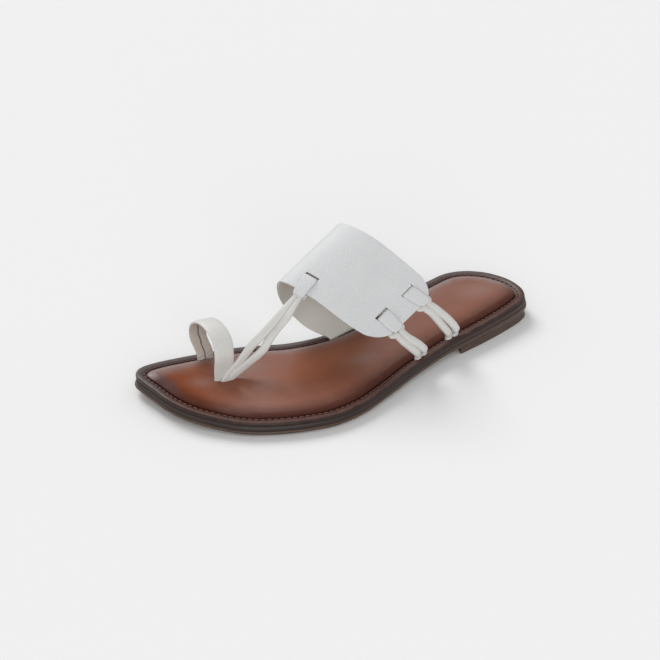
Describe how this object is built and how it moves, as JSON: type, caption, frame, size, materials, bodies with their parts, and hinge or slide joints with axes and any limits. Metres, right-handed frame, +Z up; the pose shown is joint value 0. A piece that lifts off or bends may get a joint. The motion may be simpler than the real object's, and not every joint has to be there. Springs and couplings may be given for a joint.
{
  "type": "slip-on sandal",
  "caption": "Open slip-on sandal with a flat layered leather sole, a toe loop, a wide band that curves over the instep and doubled cords that tie the band to the sole",
  "frame": {"origin": "on the floor, under the middle of the sole's box seen from above", "axes": "+X to the toe, +Y to the outer side of the left foot, +Z up"},
  "size_m": [0.255, 0.1122, 0.079],
  "materials": {
    "sole_leather": "dark brown edge, waxed",
    "rim_leather": "dark brown, waxed and stitched",
    "heel_leather": "grey brown, dull",
    "footbed_leather": "chestnut, burnished, semi-gloss",
    "white_leather": "off-white, fine pebble grain, satin"
  },
  "bodies": {
    "root": {"heel_lift": "heel_leather", "outsole": "sole_leather", "midsole": "rim_leather", "insole_board": "rim_leather", "footbed": "footbed_leather", "instep_band": "white_leather", "front_tab": "white_leather", "side_tab_front": "white_leather", "side_tab_rear": "white_leather", "toe_loop": "white_leather", "front_cord": "white_leather", "side_cord_front": "white_leather", "side_cord_rear": "white_leather"}
  },
  "joints": []
}
